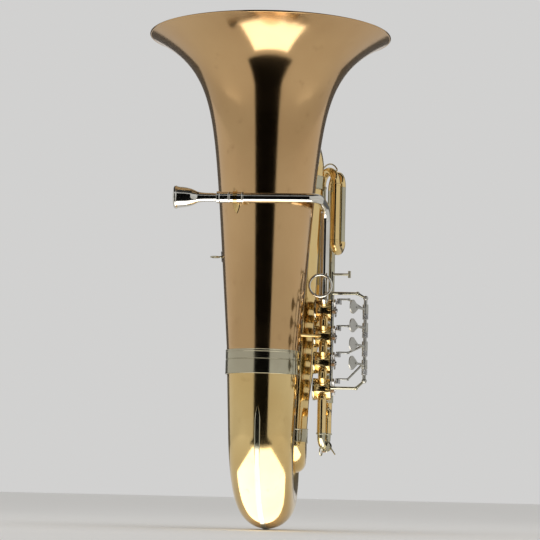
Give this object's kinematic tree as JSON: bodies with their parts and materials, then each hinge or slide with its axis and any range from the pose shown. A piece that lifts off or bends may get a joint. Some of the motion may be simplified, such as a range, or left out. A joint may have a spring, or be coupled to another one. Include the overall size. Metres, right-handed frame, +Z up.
{
  "type": "tuba",
  "caption": "Upright brass tuba with a flared bell, a wrap of conical branches and bows, rotary valves with paddle levers, pull slides and a side mouthpiece.",
  "frame": {"origin": "the lowest point of the bottom bow's guard strip, where the tuba rests on a lap or stand", "axes": "+Z up along the bell's axis towards its rim, +X towards the valves and levers, +Y away from the leadpipe side"},
  "size_m": [0.4216, 0.4782, 0.8597],
  "materials": {
    "lacquered_brass": "polished yellow brass under clear lacquer",
    "nickel_silver": "polished nickel silver",
    "silver_plate": "polished silver plate",
    "satin_nickel": "satin nickel",
    "steel": "turned steel and nickel",
    "cork": "cork"
  },
  "bodies": {
    "instrument": {"bell": "lacquered_brass", "bell_ferrule": "nickel_silver", "bottom_bow": "lacquered_brass", "bow_guard_strip": "nickel_silver", "outer_ferrules": "nickel_silver", "outer_branch": "lacquered_brass", "top_bow": "lacquered_brass", "third_branch": "lacquered_brass", "third_ferrules": "nickel_silver", "inner_bow": "lacquered_brass", "fourth_branch": "lacquered_brass", "fourth_ferrules": "nickel_silver", "main_slide_sleeves": "nickel_silver", "return_tube": "lacquered_brass", "exit_tube": "lacquered_brass", "lower_sleeves": "lacquered_brass", "leadpipe": "silver_plate", "mouthpiece_receiver": "silver_plate", "leadpipe_brace": "lacquered_brass", "strap_bracket": "nickel_silver", "strap_ring": "nickel_silver", "valve_casing_1": "lacquered_brass", "valve_casing_2": "lacquered_brass", "valve_casing_3": "lacquered_brass", "valve_casing_4": "lacquered_brass", "valve_caps": "nickel_silver", "bearing_plates": "nickel_silver", "stop_corks": "cork", "valve_knuckles": "lacquered_brass", "lever_axle": "satin_nickel", "lever_frame": "nickel_silver", "lever_springs": "steel", "thumb_ring": "nickel_silver", "slide_sleeves": "nickel_silver", "braces": "lacquered_brass"},
    "lever_1": {"lever_1": "satin_nickel"},
    "push_rod_1": {"push_rod_1": "steel"},
    "rotor_1": {"rotor_1": "steel"},
    "valve_slide_1": {"valve_slide_1": "lacquered_brass"},
    "lever_2": {"lever_2": "satin_nickel"},
    "push_rod_2": {"push_rod_2": "steel"},
    "rotor_2": {"rotor_2": "steel"},
    "valve_slide_2": {"valve_slide_2": "lacquered_brass"},
    "lever_3": {"lever_3": "satin_nickel"},
    "push_rod_3": {"push_rod_3": "steel"},
    "rotor_3": {"rotor_3": "steel"},
    "valve_slide_3": {"valve_slide_3": "lacquered_brass"},
    "lever_4": {"lever_4": "satin_nickel"},
    "push_rod_4": {"push_rod_4": "steel"},
    "rotor_4": {"rotor_4": "steel"},
    "valve_slide_4": {"valve_slide_4": "lacquered_brass"},
    "main_tuning_slide": {"main_tuning_slide": "lacquered_brass", "main_slide_guard": "nickel_silver"},
    "lower_slide": {"lower_slide": "nickel_silver", "lower_slide_ring": "nickel_silver", "water_key_seat": "nickel_silver"},
    "water_key": {"water_key": "nickel_silver", "water_key_cork": "cork"},
    "mouthpiece": {"mouthpiece": "silver_plate"}
  },
  "joints": [
    {"name": "lever_1_turn", "type": "hinge", "parent": "instrument", "child": "lever_1", "pos_m": [0.174, -0.092, 0.384], "axis": [0, 0, -1], "range_deg": [0, 26], "stiffness_Nm_per_rad": 0.06, "springref_deg": -17.19},
    {"name": "push_rod_1_slide", "type": "slide", "parent": "instrument", "child": "push_rod_1", "axis": [0, 1, 0], "range_m": [0, 0.0208]},
    {"name": "rotor_1_turn", "type": "hinge", "parent": "instrument", "child": "rotor_1", "pos_m": [0.1, -0.058, 0.384], "axis": [-1, 0, 0], "range_deg": [0, 90.1]},
    {"name": "valve_slide_1_pull", "type": "slide", "parent": "instrument", "child": "valve_slide_1", "axis": [0, 1, 0], "range_m": [0, 0.02]},
    {"name": "lever_2_turn", "type": "hinge", "parent": "instrument", "child": "lever_2", "pos_m": [0.174, -0.092, 0.352], "axis": [0, 0, -1], "range_deg": [0, 26], "stiffness_Nm_per_rad": 0.06, "springref_deg": -17.19},
    {"name": "push_rod_2_slide", "type": "slide", "parent": "instrument", "child": "push_rod_2", "axis": [0, 1, 0], "range_m": [0, 0.0208]},
    {"name": "rotor_2_turn", "type": "hinge", "parent": "instrument", "child": "rotor_2", "pos_m": [0.1, -0.058, 0.338], "axis": [-1, 0, 0], "range_deg": [0, 90.1]},
    {"name": "valve_slide_2_pull", "type": "slide", "parent": "instrument", "child": "valve_slide_2", "axis": [0, 1, 0], "range_m": [0, 0.02]},
    {"name": "lever_3_turn", "type": "hinge", "parent": "instrument", "child": "lever_3", "pos_m": [0.174, -0.092, 0.32], "axis": [0, 0, -1], "range_deg": [0, 26], "stiffness_Nm_per_rad": 0.06, "springref_deg": -17.19},
    {"name": "push_rod_3_slide", "type": "slide", "parent": "instrument", "child": "push_rod_3", "axis": [0, 1, 0], "range_m": [0, 0.0208]},
    {"name": "rotor_3_turn", "type": "hinge", "parent": "instrument", "child": "rotor_3", "pos_m": [0.1, -0.058, 0.292], "axis": [-1, 0, 0], "range_deg": [0, 90.1]},
    {"name": "valve_slide_3_pull", "type": "slide", "parent": "instrument", "child": "valve_slide_3", "axis": [0, 1, 0], "range_m": [0, 0.02]},
    {"name": "lever_4_turn", "type": "hinge", "parent": "instrument", "child": "lever_4", "pos_m": [0.174, -0.092, 0.288], "axis": [0, 0, -1], "range_deg": [0, 26], "stiffness_Nm_per_rad": 0.06, "springref_deg": -17.19},
    {"name": "push_rod_4_slide", "type": "slide", "parent": "instrument", "child": "push_rod_4", "axis": [0, 1, 0], "range_m": [0, 0.0208]},
    {"name": "rotor_4_turn", "type": "hinge", "parent": "instrument", "child": "rotor_4", "pos_m": [0.1, -0.058, 0.246], "axis": [-1, 0, 0], "range_deg": [0, 90.1]},
    {"name": "valve_slide_4_pull", "type": "slide", "parent": "instrument", "child": "valve_slide_4", "axis": [0, 1, 0], "range_m": [0, 0.016]},
    {"name": "main_slide_pull", "type": "slide", "parent": "instrument", "child": "main_tuning_slide", "axis": [0, 0, 1], "range_m": [0, 0.06]},
    {"name": "lower_slide_pull", "type": "slide", "parent": "instrument", "child": "lower_slide", "axis": [0, 0, -1], "range_m": [0, 0.01]},
    {"name": "water_key_turn", "type": "hinge", "parent": "lower_slide", "child": "water_key", "pos_m": [0.11422, -0.06375, 0.14681], "axis": [-0.223, -0.9748, 0], "range_deg": [0, 18], "stiffness_Nm_per_rad": 0.02, "springref_deg": -17.19},
    {"name": "mouthpiece_pull", "type": "slide", "parent": "instrument", "child": "mouthpiece", "axis": [-1, 0, 0], "range_m": [0, 0.04]}
  ],
  "couplings": [
    {"joint": "push_rod_1_slide", "follows": "lever_1_turn", "m_per_rad": 0.045616},
    {"joint": "rotor_1_turn", "follows": "lever_1_turn", "ratio": 3.4615},
    {"joint": "push_rod_2_slide", "follows": "lever_2_turn", "m_per_rad": 0.045616},
    {"joint": "rotor_2_turn", "follows": "lever_2_turn", "ratio": 3.4615},
    {"joint": "push_rod_3_slide", "follows": "lever_3_turn", "m_per_rad": 0.045616},
    {"joint": "rotor_3_turn", "follows": "lever_3_turn", "ratio": 3.4615},
    {"joint": "push_rod_4_slide", "follows": "lever_4_turn", "m_per_rad": 0.045616},
    {"joint": "rotor_4_turn", "follows": "lever_4_turn", "ratio": 3.4615}
  ]
}
